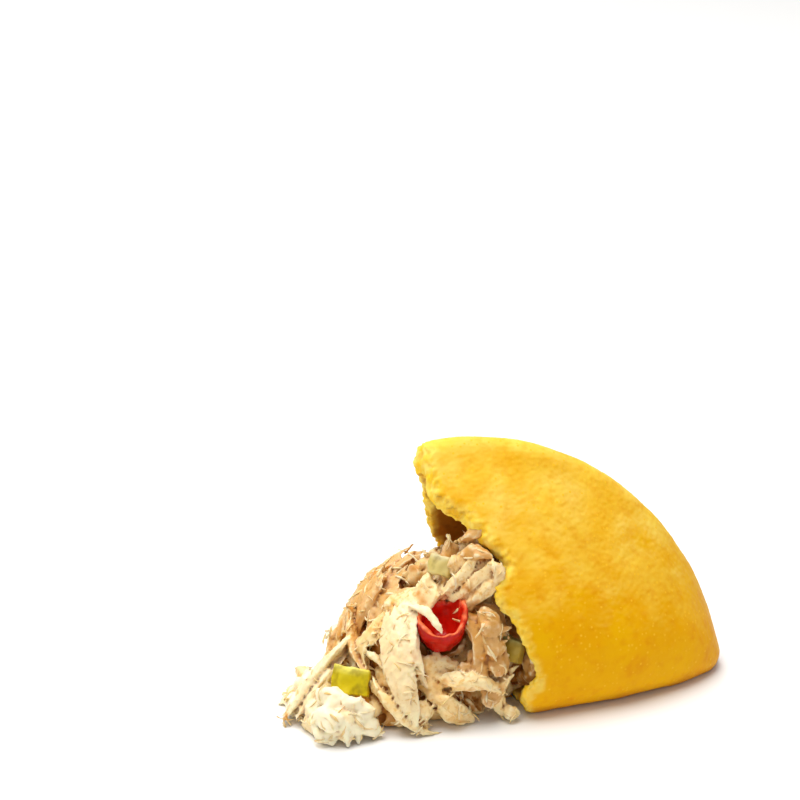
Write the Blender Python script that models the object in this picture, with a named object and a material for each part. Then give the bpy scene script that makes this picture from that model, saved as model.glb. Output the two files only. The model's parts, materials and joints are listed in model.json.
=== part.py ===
"""Half of a corn-dough empanada, torn open, with its shredded chicken filling spilling onto the table.

The half stands on its straight fold, leaning back a little. +Z is up and the table is z = 0. X runs along
the fold, with the whole corner at +X and the torn mouth at -X; -Y is the front. The shapes are worked out
with x = 0 at the corner, and at the end the whole part is moved so that the origin is at the middle of
its base. Run it in Blender 4.5: one object for each piece. Units are metres.
"""

import math
import random

import bmesh
import bpy
from mathutils import Matrix, Vector, noise
from mathutils.bvhtree import BVHTree

MM = 0.001

# The turnover: a dough disc folded over the filling and pressed shut along its rim.
HALF_FOLD = 54 * MM  # from a corner to the middle of the straight fold
HEIGHT = 51 * MM  # from the fold up to the rim
FRONT_BULGE = 20 * MM  # how far the front stands out from the middle plane
BACK_BULGE = 16 * MM
RIM_POWER = 1.12  # over 1, the rim falls a little inside an ellipse
LEAN = 0.20  # the rim lies this share of its height behind the fold
WALL = 2.7 * MM  # thickness of the dough
SEAM = 7.0 * MM  # width of the pressed rim, where the two layers are one
LIP = 2.6 * MM  # half the thickness of the rim
CORNER_RADIUS = 4.0 * MM
HOLLOW_LIP = 0.6 * MM  # half the thickness of the hollow at its rim
FIT_GAP = 0.35 * MM  # clearance between the dough, the filling and the pepper

# Where the dough is torn: (share of the height, distance from the corner along the fold).
FRONT_TEAR = ((0.0, 45), (0.1, 47), (0.15, 44.5), (0.19, 43), (0.23, 44), (0.3, 46.2), (0.38, 46.8),
              (0.43, 47.5), (0.47, 49.5), (0.51, 51.8), (0.545, 51.2), (0.595, 48), (0.635, 47.5),
              (0.68, 50), (0.74, 53), (0.8, 55), (0.86, 59.5), (0.93, 61.2), (1.0, 61.2))
BACK_TEAR = ((0.0, 47), (0.2, 50), (0.45, 55), (0.62, 58), (0.8, 59.5), (1.0, 62))
RAGGED = 0.5 * MM  # how far the tear wanders from that line
CRUMB_BEVEL = 0.2 * MM  # how far the inner side of the tear reaches past the outer side
CRUMB_RISE = 0.5 * MM  # how far the crumb stands out of the tear, by bumps of about this size:
CRUMB_SIZE = 2.6 * MM
UNEVEN = 0.45 * MM  # how far the dough's surface swells and sinks

SIDE_ROWS = 24  # rows of points down each side, from the rim to the fold
BASE_ROWS = 5
OUTER_COLUMNS = 21
INNER_COLUMNS = 9
CORNER_TURN = 0.07  # where the columns start, as an angle round the rim from the corner
TEARDROP_CUT = 0.08  # share of the teardrop section that the flat base cuts off
TEARDROP_PEAK = 0.77

# The filling: a plug that packs the crust up to the mouth, and mounds that spill out over the table, each
# (x, y, reach along x, reach along y, height) in millimetres.
PLUG_REACH = 45 * MM
PLUG_FIRST_TURN = 0.12
PLUG_COLUMNS = 8
PLUG_ROWS = 9
PLUG_TOP = 0.74  # share of the hollow's height that is still full at the plug's end
MOUNDS = (
    (-47, 2, 13, 9.5, 33),
    (-57, 4, 13, 13, 27),
    (-67, 1, 14, 13, 18),
    (-68, 10, 12, 11, 20),
    (-70, -5, 10, 8, 9),
    (-60, -6, 9, 6.5, 8),
    (-82, -7.5, 8.5, 7.5, 8),
    (-85, 0, 7, 7, 5),
)

# Shreds that stand out, each three points of its middle line, its width and its thickness, in millimetres.
STANDING_SHREDS = {
    "broad strip": ((-67, -3, 20.5), (-70.5, -8.5, 15.5), (-68, -14, 8.5), 8.5, 3.2),
    "hooked strand": ((-66, -7, 18), (-67.5, -9.5, 15), (-66.5, -12.5, 9.5), 2.0, 2.2),
    "flap up to the pepper": ((-64.5, -0.5, 23), (-70, -1.5, 19.5), (-75, -4.5, 14.5), 6.5, 2.4),
    "bright bundle": ((-60, -5.5, 25), (-54.5, -4, 29.5), (-49.5, -3, 32.5), 6.5, 5.0),
    "bright bundle's side": ((-57, -7, 24), (-52.5, -6.5, 27.5), (-49.5, -5.5, 30), 4.5, 4.0),
    "curl beside the pepper": ((-56.5, -9.5, 20.5), (-53.5, -12, 16), (-57, -13.5, 11.5), 3.4, 2.6),
    "crumbly piece in the mouth": ((-52.5, -7.5, 20), (-50.5, -9.5, 17), (-49.5, -10, 14.5), 6.5, 5.0),
    "flat chunk": ((-61, -13, 9), (-57, -13.8, 9.5), (-52.5, -14, 8.5), 5.2, 3.0),
    "knob": ((-63, -14.5, 6), (-61, -15.5, 4.5), (-59, -15.5, 2.5), 5.0, 4.4),
    "strip down to the table": ((-75, -12, 9.5), (-71.5, -15.5, 6), (-67.5, -17.5, 2), 4.2, 2.8),
    "long strip on the left": ((-80, 1.5, 11), (-86, -2.5, 6.5), (-91.5, -3, 2.2), 5.5, 3.0),
    "curl at the mouth": ((-47, -11, 9), (-49.2, -13, 5), (-48.6, -14.5, 1.6), 3.2, 2.6),
    "fibres behind": ((-66.5, 11, 23.5), (-72, 11, 19), (-76.5, 6, 13.5), 5.5, 3.0),
    "fibres behind, lower": ((-70, 14, 18), (-76, 10, 13), (-80, 4, 10), 4.5, 2.6),
    "tuft behind": ((-62, 8, 25), (-67, 8.5, 22), (-72, 4.5, 17), 4.5, 2.6),
    "front clump": ((-87.5, -11.5, 5.5), (-83.5, -14.5, 5.5), (-79, -15, 4), 5.5, 5.0),
    "front clump's foot": ((-85.5, -14, 2.5), (-83, -16.5, 2), (-80.5, -16.5, 1.5), 4.5, 3.4),
}

# The shreds between them lie all over the mounds.
SHRED_SPACING = 6.9 * MM
SHRED_LENGTH = (8 * MM, 14 * MM)
SHRED_WIDTH = (2.4 * MM, 4.8 * MM)
SHRED_THICKNESS = 0.62  # share of the width, times a draw from:
SHRED_THICKNESS_DRAW = (0.8, 1.25)
SHRED_BOW = 0.16  # how far a shred bows to either side, as a share of its length
SHRED_DROOP = (0.02 / MM, 0.05 / MM)  # how fast its ends fall away from its middle
SHRED_LIFT = (-0.1, 0.35)  # how far its middle stands out of the mound, as a share of its thickness
SHRED_LOWEST = 0.35  # and the least height of its middle line above the table
SHRED_SEED = 33
PLACES_PER_MOUND = 400
LOWEST_SHRED = 1.2 * MM
CLEAR_OF_DOUGH = 1.9 * MM
HEAP_MIDDLE = (-62, 2, 4)  # the standing shreds lie flat against this, in millimetres
STRAND_SIDES = 5
STRAND_STATIONS = 5
STRAND_TAPER = ((0.0, 0.35), (0.16, 0.8), (0.38, 1.0), (0.62, 0.95), (0.84, 0.75), (1.0, 0.3))

BOOLEAN_SOLVER = "EXACT"
WELD = 0.001 * MM

# Sweet pepper, diced. The slabs are (place, length, height, thickness, facing), in millimetres.
CUP_PLACE = (-61.5, -6.2, 13.4)  # the tip of the red piece
CUP_RADIUS = 5.4 * MM
CUP_HEIGHT = 8.5 * MM
CUP_WALL = 1.5 * MM
CUP_SIDES = 16
CUP_DIP = 0.12  # share of its height that the rim dips by in front
CUP_ARM = 0.42  # share of its height that one side stands higher
CUP_ARM_ANGLE = math.radians(109)  # from the front, towards +X
CUP_RINGS = (0.06, 0.25, 0.6, 1.0)  # shares of its height, up the outside
CUP_HOLLOW_RINGS = (0.94, 0.5, 0.12)  # and down the inside
CUP_TILT = 14.0
CUP_TURN = -14.0
CUP_CLEAR = 4 * MM  # free height above the cup
SLAB_ROWS = 4
SLAB_TAPER = 0.15
SLAB_CURVE = 0.9
SLAB_LOWER_HALF = 0.9  # share of the upper half's height
GREEN_PIECE = ((-80.0, -8.4, 9.4), 7.6, 5.8, 2.2, (-0.35, -0.75, 0.55))
OLIVE_PIECE = ((-48.6, -10.6, 14.0), 6.0, 5.0, 2.0, (-0.75, -0.55, 0.35))
YELLOW_PIECE = ((-60.2, -0.8, 28.7), 5.0, 4.2, 1.8, (-0.5, -0.6, 0.6))


class Skin:
    """One surface of the turnover, given by how far it lies inside the outermost one."""

    def __init__(self, rim_inset, base, bulge_inset, lip, uneven=0.0):
        self.rim_inset = rim_inset
        self.base = base
        self.bulge_inset = bulge_inset
        self.lip = lip
        self.uneven = uneven
        self.half_fold = HALF_FOLD - rim_inset

    def distance(self, turn):
        """Distance from the corner along the fold, for an angle round the rim from the corner."""
        return HALF_FOLD - self.half_fold * math.cos(turn)

    def turn(self, distance):
        """The angle round the rim from the corner, for a distance along the fold."""
        return math.acos(max(-1.0, min(1.0, (HALF_FOLD - distance) / self.half_fold)))

    def point(self, distance, side, level):
        """The point at a distance from the corner; side is -1 front, 1 back; level is 0 fold to 1 rim."""
        turn = self.turn(distance)
        rise = math.sin(turn) ** RIM_POWER
        top = self.base + (HEIGHT - self.rim_inset - self.base) * rise
        low = min(self.base + corner_lift(distance - self.rim_inset), self.base + 0.4 * (top - self.base))
        z = low + (top - low) * level
        bulge = (FRONT_BULGE if side < 0 else BACK_BULGE) - self.bulge_inset
        pillow = bulge * rise**0.8 * teardrop(level)
        up = math.sin(turn) * (z - self.base) / (top - self.base)
        rho = math.hypot((HALF_FOLD - distance) / self.half_fold, up)
        lip = self.lip * rounded((1 - min(1.0, rho)) * self.half_fold / self.lip)
        width = (pillow**3 + lip**3) ** (1 / 3)
        swell = self.uneven * noise.noise(Vector((distance, side * 40 * MM, z)) / (11 * MM))
        return Vector((-distance, side * (width + swell * min(1.0, width / LIP)) + LEAN * z, z))


def teardrop(level):
    """Half-width of a teardrop section as a share of its widest, at a level from 0, the base, to 1, the tip."""
    angle = math.acos(2 * (TEARDROP_CUT + (1 - TEARDROP_CUT) * level) - 1)
    return math.sin(angle) * math.sin(angle / 2) / TEARDROP_PEAK


def rounded(share):
    """Height of a quarter circle, 0 to 1, for a share of its radius in from the edge."""
    share = max(0.0, min(1.0, share))
    return math.sqrt(share * (2 - share))


def corner_lift(distance):
    """How far the rounded corner keeps the fold off the table, near the corner."""
    return CORNER_RADIUS * (1 - rounded(distance / CORNER_RADIUS))


def along(points, share):
    """The value at a share, read from (share, millimetres) points with smooth steps between them."""
    for (before, low), (after, high) in zip(points, points[1:]):
        if share <= after:
            step = (share - before) / (after - before)
            return (low + (high - low) * step * step * (3 - 2 * step)) * MM
    return points[-1][1] * MM


def side_levels(side_rows):
    """Levels down one side, from the rim, close together at both ends."""
    widest = math.acos(2 * TEARDROP_CUT - 1)
    for row in range(1, side_rows + 1):
        height = (1 + math.cos(widest * row / side_rows)) / 2
        yield max(0.0, (height - TEARDROP_CUT) / (1 - TEARDROP_CUT))


def section_rows(side_rows=SIDE_ROWS):
    """The points round one section as (front share, level): from the rim down the front, along the base
    and up the back. The front share is 1 in front, 0 at the back and between them along the base."""
    levels = list(side_levels(side_rows))
    rows = [(0.5, 1.0)]
    rows += [(1.0, level) for level in levels]
    rows += [(1 - row / (BASE_ROWS + 1), 0.0) for row in range(1, BASE_ROWS + 1)]
    rows += [(0.0, level) for level in reversed(levels)]
    return rows


def skin_point(skin, distance, front_share, level):
    """A point of a skin; on the base it lies between the front and the back of the fold."""
    front = skin.point(distance, -1, level)
    back = skin.point(distance, 1, level)
    return front.lerp(back, 1 - front_share)


def tear_distance(front_share, level, seed=0.0):
    """How far from the corner the dough is torn at this place on the section."""
    front = along(FRONT_TEAR, level)
    back = along(BACK_TEAR, level)
    place = Vector((front_share * 4.0, level * 9.0, seed))
    return back + (front - back) * front_share + RAGGED * noise.noise(place * 1.7)


def skin_grid(skin, columns, past_tear, seed=0.0):
    """Columns of points from the corner to the tear, each a loop round the section."""
    rows = section_rows()
    grid = []
    for column in range(columns + 1):
        loop = []
        for front_share, level in rows:
            last_turn = skin.turn(tear_distance(front_share, level, seed) + past_tear)
            turn = CORNER_TURN + (last_turn - CORNER_TURN) * column / columns
            loop.append(skin_point(skin, skin.distance(turn), front_share, level))
        grid.append(loop)
    return grid


def torn_ring(outer, inner, grow):
    """A rough ring of crumb half-way between the outer and the inner edge of the tear."""
    ring = []
    for out, into in zip(outer, inner):
        middle = out.lerp(into, 0.5)
        rough = CRUMB_RISE * (0.5 + noise.noise(middle / CRUMB_SIZE))
        ring.append(middle - Vector((rough + grow, 0, 0)))
    return ring


def shell_mesh(name, outer, inner, ring):
    """A closed shell from two grids of loops that share a torn edge."""
    mesh = bmesh.new()
    bridge(mesh, [[mesh.verts.new(point) for point in loop] for loop in (*outer, ring, *reversed(inner))])
    return finished(name, mesh)


def finished(name, mesh):
    """A new object from a bmesh, with its normals outwards and its faces triangles."""
    bmesh.ops.triangulate(mesh, faces=mesh.faces)
    bmesh.ops.recalc_face_normals(mesh, faces=mesh.faces)
    data = bpy.data.meshes.new(name)
    mesh.to_mesh(data)
    mesh.free()
    obj = bpy.data.objects.new(name, data)
    bpy.context.scene.collection.objects.link(obj)
    return obj


def crust_object(name, grow=0.0):
    """The dough. Grown by the clearance, it is the cutter that keeps the filling off it."""
    outer = skin_grid(Skin(-grow, -grow, -grow, LIP + grow, UNEVEN), OUTER_COLUMNS, grow)
    hollow = Skin(SEAM + grow, WALL + grow, WALL + grow, HOLLOW_LIP - grow)
    inner = skin_grid(hollow, INNER_COLUMNS, CRUMB_BEVEL + grow)
    return shell_mesh(name, outer, inner, torn_ring(outer[-1], inner[-1], grow))


def plug_object(name):
    """The filling packed into the crust, from near the corner to just behind the mouth."""
    inset = WALL + FIT_GAP
    skin = Skin(SEAM + FIT_GAP, inset, inset, HOLLOW_LIP - FIT_GAP)
    last_turn = skin.turn(PLUG_REACH)
    mesh = bmesh.new()
    loops = []
    for column in range(PLUG_COLUMNS + 1):
        share = column / PLUG_COLUMNS
        distance = skin.distance(PLUG_FIRST_TURN + (last_turn - PLUG_FIRST_TURN) * share)
        full = 1 - (1 - PLUG_TOP) * share**2
        points = [skin_point(skin, distance, front, level * full) for front, level in section_rows(PLUG_ROWS)]
        loops.append([mesh.verts.new(point) for point in points])
    bridge(mesh, loops)
    return finished(name, mesh)


def bridge(mesh, loops):
    """Joins loops of as many points each into one closed skin, with a face over each end."""
    count = len(loops[0])
    for first, second in zip(loops, loops[1:]):
        for row in range(count):
            after = (row + 1) % count
            mesh.faces.new((first[row], first[after], second[after], second[row]))
    mesh.faces.new(list(reversed(loops[0])))
    mesh.faces.new(loops[-1])


def mound_object(name, mound):
    """A heap's mound: an ellipsoid with its lower part pressed flat just below the table."""
    x, y, reach_x, reach_y, height = (value * MM for value in mound)
    mesh = bmesh.new()
    bmesh.ops.create_icosphere(mesh, subdivisions=2, radius=1.0)
    for vert in mesh.verts:
        vert.co = Vector((x + reach_x * vert.co.x, y + reach_y * vert.co.y, height * max(vert.co.z, -0.1)))
    return finished(name, mesh)


def within(place, mound, scale=1.0):
    """Whether a point lies inside a mound."""
    x, y, reach_x, reach_y, height = (value * MM for value in mound)
    offset = Vector(((place.x - x) / reach_x, (place.y - y) / reach_y, place.z / height))
    return offset.length < scale


def mound_places(crust):
    """Places spread evenly over what shows of the mounds, each with the direction outwards."""
    dough = BVHTree.FromObject(crust, bpy.context.evaluated_depsgraph_get())
    golden_angle = math.pi * (3 - math.sqrt(5))
    chosen = []
    for mound in MOUNDS:
        x, y, reach_x, reach_y, height = (value * MM for value in mound)
        for step in range(PLACES_PER_MOUND):
            up = 1 - (step + 0.5) / PLACES_PER_MOUND
            ring = math.sqrt(1 - up * up)
            turn = golden_angle * step
            round_x, round_y = ring * math.cos(turn), ring * math.sin(turn)
            place = Vector((x + reach_x * round_x, y + reach_y * round_y, height * up))
            hidden = place.z < LOWEST_SHRED or -place.x < PLUG_REACH - 2 * MM
            hidden = hidden or any(within(place, other) for other in MOUNDS if other != mound)
            hidden = hidden or dough.find_nearest(place)[3] < CLEAR_OF_DOUGH
            if hidden or any((place - other).length < SHRED_SPACING for other, _ in chosen):
                continue
            chosen.append((place, Vector((round_x / reach_x, round_y / reach_y, up / height)).normalized()))
    return chosen


def strand_object(name, middle, width, thickness, outward):
    """A flattened strand along its middle line, tapered towards both ends."""
    mesh = bmesh.new()
    loops = []
    last = len(middle) - 1
    for index, point in enumerate(middle):
        tangent = (middle[min(last, index + 1)] - middle[max(0, index - 1)]).normalized()
        side = tangent.cross(outward).normalized()
        up = side.cross(tangent)
        scale = along_shares(STRAND_TAPER, index / last)
        loop = []
        for step in range(STRAND_SIDES):
            angle = math.tau * (step + 0.25) / STRAND_SIDES
            across = side * (math.cos(angle) * scale * width / 2)
            through = up * (math.sin(angle) * scale * thickness / 2)
            loop.append(mesh.verts.new(point + across + through))
        loops.append(loop)
    bridge(mesh, loops)
    return finished(name, mesh)


def along_shares(points, share):
    """The value at a share, read from (share, value) points with straight lines between them."""
    for (before, low), (after, high) in zip(points, points[1:]):
        if share <= after:
            return low + (high - low) * (share - before) / (after - before)
    return points[-1][1]


def standing_shreds():
    """The shreds that stand out, each bent through its three points."""
    shreds = []
    middle = Vector(HEAP_MIDDLE) * MM
    for name, (start, bend, end, width, thickness) in STANDING_SHREDS.items():
        start, bend, end = (Vector(point) * MM for point in (start, bend, end))
        pull = bend * 2 - (start + end) / 2
        points = []
        for step in range(STRAND_STATIONS + 2):
            share = step / (STRAND_STATIONS + 1)
            points.append(start * (1 - share) ** 2 + pull * 2 * share * (1 - share) + end * share**2)
        shreds.append(strand_object(name, points, width * MM, thickness * MM, (bend - middle).normalized()))
    return shreds


def scattered_shreds(crust):
    """Shreds lying over the mounds, bent to follow them and turned every way."""
    draw = random.Random(SHRED_SEED)
    shreds = []
    for index, (place, outward) in enumerate(mound_places(crust)):
        length = draw.uniform(*SHRED_LENGTH)
        width = draw.uniform(*SHRED_WIDTH)
        thickness = width * SHRED_THICKNESS * draw.uniform(*SHRED_THICKNESS_DRAW)
        level = outward.cross(Vector((0.2, 0.1, 1))).normalized()
        direction = Matrix.Rotation(draw.uniform(0, math.pi), 3, outward) @ level
        sideways = direction.cross(outward)
        bow = draw.uniform(-SHRED_BOW, SHRED_BOW)
        droop = draw.uniform(*SHRED_DROOP)
        lift = draw.uniform(*SHRED_LIFT) * thickness
        points = []
        for step in range(STRAND_STATIONS):
            reach = length * (step / (STRAND_STATIONS - 1) - 0.5)
            swing = bow * length * (1 - (2 * reach / length) ** 2)
            point = place + outward * (lift - droop * reach**2) + direction * reach + sideways * swing
            point.z = max(point.z, thickness * SHRED_LOWEST)
            points.append(point)
        shreds.append(strand_object(f"shred {index}", points, width, thickness, outward))
    return shreds


def table_object(name):
    """A block whose top is the table."""
    mesh = bmesh.new()
    bmesh.ops.create_cube(mesh, size=1.0)
    for vert in mesh.verts:
        vert.co = Vector((vert.co.x * 0.4, vert.co.y * 0.4, (vert.co.z - 0.5) * 0.05))
    return finished(name, mesh)


def combine(obj, operation, others):
    """Joins others to an object, or cuts them from it, with one Boolean, and removes them."""
    collection = bpy.data.collections.new(operation)
    for other in others:
        collection.objects.link(other)
    modifier = obj.modifiers.new(operation, "BOOLEAN")
    modifier.operation = operation
    modifier.operand_type = "COLLECTION"
    modifier.collection = collection
    modifier.solver = BOOLEAN_SOLVER
    graph = bpy.context.evaluated_depsgraph_get()
    combined = bpy.data.meshes.new_from_object(obj.evaluated_get(graph))
    obj.modifiers.clear()
    obj.data = combined
    for other in others:
        bpy.data.objects.remove(other)
    bpy.data.collections.remove(collection)


def keep_largest_body(obj):
    """Drops loose scraps and fills sealed hollows: only the skin with the most faces stays."""
    mesh = bmesh.new()
    mesh.from_mesh(obj.data)
    bmesh.ops.remove_doubles(mesh, verts=mesh.verts, dist=WELD)
    bodies = []
    waiting = set(mesh.faces)
    while waiting:
        body = set()
        front = [waiting.pop()]
        while front:
            face = front.pop()
            body.add(face)
            for edge in face.edges:
                for neighbour in edge.link_faces:
                    if neighbour in waiting:
                        waiting.remove(neighbour)
                        front.append(neighbour)
        bodies.append(body)
    bodies.sort(key=len)
    scraps = [face for body in bodies[:-1] for face in body]
    bmesh.ops.delete(mesh, geom=scraps, context="FACES")
    bmesh.ops.triangulate(mesh, faces=mesh.faces)
    mesh.to_mesh(obj.data)
    mesh.free()


def cup_object(name, grow=0.0):
    """The tip of a red pepper, a small cup open at the top. Grown, it is the solid cutter of its place."""
    mesh = bmesh.new()
    turn = Matrix.Rotation(math.radians(CUP_TILT), 3, "X") @ Matrix.Rotation(math.radians(CUP_TURN), 3, "Z")
    tip = Vector(CUP_PLACE) * MM

    def ring(share, inset=0.0, lift=0.0):
        points = []
        for side in range(CUP_SIDES):
            angle = math.tau * side / CUP_SIDES
            rim = 1 - CUP_DIP * max(0.0, math.cos(angle)) ** 2 + CUP_ARM * max(0.0, math.cos(angle - CUP_ARM_ANGLE)) ** 6
            height = inset + (CUP_HEIGHT * rim - inset) * share
            radius = CUP_RADIUS * rounded(height / CUP_HEIGHT) + grow - inset
            offset = Vector((math.sin(angle) * radius, -math.cos(angle) * radius, height + lift))
            points.append(mesh.verts.new(tip + turn @ offset))
        return points

    if grow:
        bottom, *sides = CUP_RINGS
        bridge(mesh, [ring(bottom, lift=-grow), *(ring(share) for share in sides), ring(1.0, lift=CUP_CLEAR)])
    else:
        outside = [ring(share) for share in CUP_RINGS]
        bridge(mesh, outside + [ring(share, CUP_WALL) for share in CUP_HOLLOW_RINGS])
    return finished(name, mesh)


def slab_object(name, piece, grow=0.0):
    """A diced piece of pepper: a slightly curved trapezoid slab, facing one way. Grown, it is its cutter."""
    place, length, height, thickness, facing = piece
    facing = Vector(facing).normalized()
    across = Vector((0, 0, 1)).cross(facing).normalized()
    upward = facing.cross(across)
    half_length, half_height, half_thickness = (size * MM / 2 + grow for size in (length, height, thickness))
    mesh = bmesh.new()
    loops = []
    for row in range(SLAB_ROWS + 1):
        share = 2 * row / SLAB_ROWS - 1
        wide = half_height * (1 - SLAB_TAPER * share)
        curve = -SLAB_CURVE * MM * share**2
        lower = -half_height * SLAB_LOWER_HALF
        corners = ((-1, wide), (1, wide), (1, lower), (-1, lower))
        loop = []
        for side, up in corners:
            depth = curve + side * half_thickness
            point = Vector(place) * MM + across * (share * half_length) + upward * up + facing * depth
            loop.append(mesh.verts.new(point))
        loops.append(loop)
    bridge(mesh, loops)
    return finished(name, mesh)


def pepper_objects(prefix="", grow=0.0):
    """The diced pepper, or the cutters of its places."""
    return {
        "red_pepper": cup_object(prefix + "red_pepper", grow),
        "green_pepper": slab_object(prefix + "green_pepper", GREEN_PIECE, grow),
        "olive_pepper": slab_object(prefix + "olive_pepper", OLIVE_PIECE, grow),
        "yellow_pepper": slab_object(prefix + "yellow_pepper", YELLOW_PIECE, grow),
    }


def filling_object(name, crust):
    """The chicken: plug, mounds and shreds joined, then cut clear of the dough, the pepper and the table."""
    filling = plug_object(name)
    mounds = [mound_object(f"mound {index}", mound) for index, mound in enumerate(MOUNDS)]
    combine(filling, "UNION", mounds + standing_shreds() + scattered_shreds(crust))
    cutters = list(pepper_objects("place of ", FIT_GAP).values())
    combine(filling, "DIFFERENCE", [crust_object("dough and clearance", FIT_GAP), table_object("table")] + cutters)
    keep_largest_body(filling)
    return filling


def linear(value):
    """A colour channel from sRGB, 0 to 255, to linear light."""
    value /= 255
    return value / 12.92 if value <= 0.04045 else ((value + 0.055) / 1.055) ** 2.4


def paint(obj, name, colour, roughness):
    """Gives an object its own material, with an sRGB colour such as 0xF2B632."""
    material = bpy.data.materials.new(name)
    material.use_nodes = True
    surface = material.node_tree.nodes["Principled BSDF"]
    channels = [linear(colour >> shift & 0xFF) for shift in (16, 8, 0)]
    surface.inputs["Base Color"].default_value = (*channels, 1)
    surface.inputs["Roughness"].default_value = roughness
    obj.data.materials.clear()
    obj.data.materials.append(material)


def centre_on_base(objects):
    """Moves everything together, so that the origin is at the middle of the base."""
    corners = [vert.co for obj in objects for vert in obj.data.vertices]
    low, high = (Vector(pick(corner[axis] for corner in corners) for axis in range(3)) for pick in (min, max))
    shift = Matrix.Translation(-Vector(((low.x + high.x) / 2, (low.y + high.y) / 2, low.z)))
    for obj in objects:
        obj.data.transform(shift)


def clear_scene():
    for obj in list(bpy.data.objects):
        bpy.data.objects.remove(obj)


def main():
    clear_scene()
    crust = crust_object("crust")
    filling = filling_object("chicken_filling", crust)
    peppers = pepper_objects()
    paint(crust, "cornmeal crust", 0xF0B224, 0.55)
    paint(filling, "chicken", 0xE9D3AC, 0.5)
    paint(peppers["red_pepper"], "red pepper", 0xC8160C, 0.3)
    paint(peppers["green_pepper"], "green pepper", 0xA9C22C, 0.35)
    paint(peppers["olive_pepper"], "olive-green pepper", 0x8E8A34, 0.4)
    paint(peppers["yellow_pepper"], "yellow-green pepper", 0xC9C274, 0.4)
    centre_on_base([crust, filling, *peppers.values()])


main()
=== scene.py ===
"""The looks of a torn empanada half: fried cornmeal dough, shredded chicken and diced sweet pepper.

It is laid out as an add-on and run as a script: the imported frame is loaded, one operator models each piece
round it, and one builds the stage. Units are metres; sizes with MM are millimetres.
"""

import json
import math
import random

import bpy
from mathutils import Matrix, Vector, noise
from mathutils.bvhtree import BVHTree
from mathutils.kdtree import KDTree

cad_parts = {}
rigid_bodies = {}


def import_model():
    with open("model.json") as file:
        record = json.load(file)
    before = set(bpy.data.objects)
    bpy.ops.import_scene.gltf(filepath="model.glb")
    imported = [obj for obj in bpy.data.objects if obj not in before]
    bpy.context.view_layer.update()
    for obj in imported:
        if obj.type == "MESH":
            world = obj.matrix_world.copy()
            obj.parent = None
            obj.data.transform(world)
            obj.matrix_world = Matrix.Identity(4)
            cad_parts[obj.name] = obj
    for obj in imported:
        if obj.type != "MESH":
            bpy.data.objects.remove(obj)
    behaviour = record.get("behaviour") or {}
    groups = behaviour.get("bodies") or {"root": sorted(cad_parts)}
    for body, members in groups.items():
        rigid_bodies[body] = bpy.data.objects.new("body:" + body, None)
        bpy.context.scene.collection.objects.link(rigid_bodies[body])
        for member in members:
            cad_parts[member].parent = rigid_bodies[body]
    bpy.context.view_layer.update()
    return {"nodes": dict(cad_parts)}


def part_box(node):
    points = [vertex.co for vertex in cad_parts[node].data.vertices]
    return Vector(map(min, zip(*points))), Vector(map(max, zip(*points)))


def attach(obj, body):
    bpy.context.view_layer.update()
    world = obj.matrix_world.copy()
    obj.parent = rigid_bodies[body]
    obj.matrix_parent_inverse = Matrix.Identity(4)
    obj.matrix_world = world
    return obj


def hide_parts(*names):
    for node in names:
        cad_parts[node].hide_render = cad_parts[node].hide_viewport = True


bl_info = {
    "name": "Torn Empanada",
    "version": (1, 0, 0),
    "blender": (4, 5, 0),
    "location": "View3D > Sidebar > Empanada",
    "description": "Models the finish of a torn corn-dough empanada with its chicken filling",
    "category": "Add Mesh",
}

MM = 0.001
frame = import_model()

BODY = "root"

# The dough's section leans back with height, and its hollow is round this line.
DOUGH_LEAN = 0.2
DOUGH_MIDDLE_HEIGHT = 20 * MM
TORN_FACING = -0.45  # a normal's x under this, near the mouth, is torn crumb
MOUTH_DEPTH = 20 * MM  # how far the tear reaches back from the crust's left end
SOLID_CORNER = 15 * MM  # how far from its corner the dough has no hollow that shows
CORNER_ROUNDING = 0.57 * MM  # how far the rounded corner stops short of the unrounded one
FOLD_FORWARD = 0.49 * MM  # how far the fold lies in front of the dough's middle

PEPPERS = ("red_pepper", "green_pepper", "olive_pepper", "yellow_pepper")
DEEPEST_SHRED = 22 * MM  # how far behind the left end of the tear the hollow still shows
DOUGH_LOW, DOUGH_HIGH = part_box("crust")
DOUGH_MIDDLE_Y = (DOUGH_LOW.y + DOUGH_HIGH.y) / 2
# The unrounded corner of the fold, which places and the camera are measured from.
FOLD_CORNER = Vector((DOUGH_HIGH.x + CORNER_ROUNDING, DOUGH_MIDDLE_Y - FOLD_FORWARD, 0))

FLOOR_GAP = 0.1 * MM  # nothing is modelled nearer to the floor than this
MERGE_DISTANCE = 0.002 * MM
LEAST_WEIGHT = 0.01  # a smaller weight is left out of a vertex group
LEAST_BEND = 0.02  # a bend or twist by a smaller angle, in radians, is left out


def hex_colour(value):
    """An sRGB colour such as 0xF2B632 as linear red, green, blue and alpha."""
    channels = [(value >> shift & 0xFF) / 255 for shift in (16, 8, 0)]
    linear = [c / 12.92 if c <= 0.04045 else ((c + 0.055) / 1.055) ** 2.4 for c in channels]
    return (*linear, 1.0)


def smooth_step(low, high, value):
    """0 below low, 1 above high and smooth between them."""
    share = max(0.0, min(1.0, (value - low) / (high - low)))
    return share * share * (3 - 2 * share)


def deselect_all():
    if bpy.context.mode != "OBJECT":
        bpy.ops.object.mode_set(mode="OBJECT")
    bpy.ops.object.select_all(action="DESELECT")


def take(piece):
    """Makes a piece the only selected and the active one."""
    deselect_all()
    piece.select_set(True)
    bpy.context.view_layer.objects.active = piece


def apply_modifier(piece, kind, **settings):
    """Adds a modifier with these settings and applies it."""
    take(piece)
    modifier = piece.modifiers.new(kind.title(), kind)
    for name, value in settings.items():
        setattr(modifier, name, value)
    bpy.ops.object.modifier_apply(modifier=modifier.name)


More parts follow.
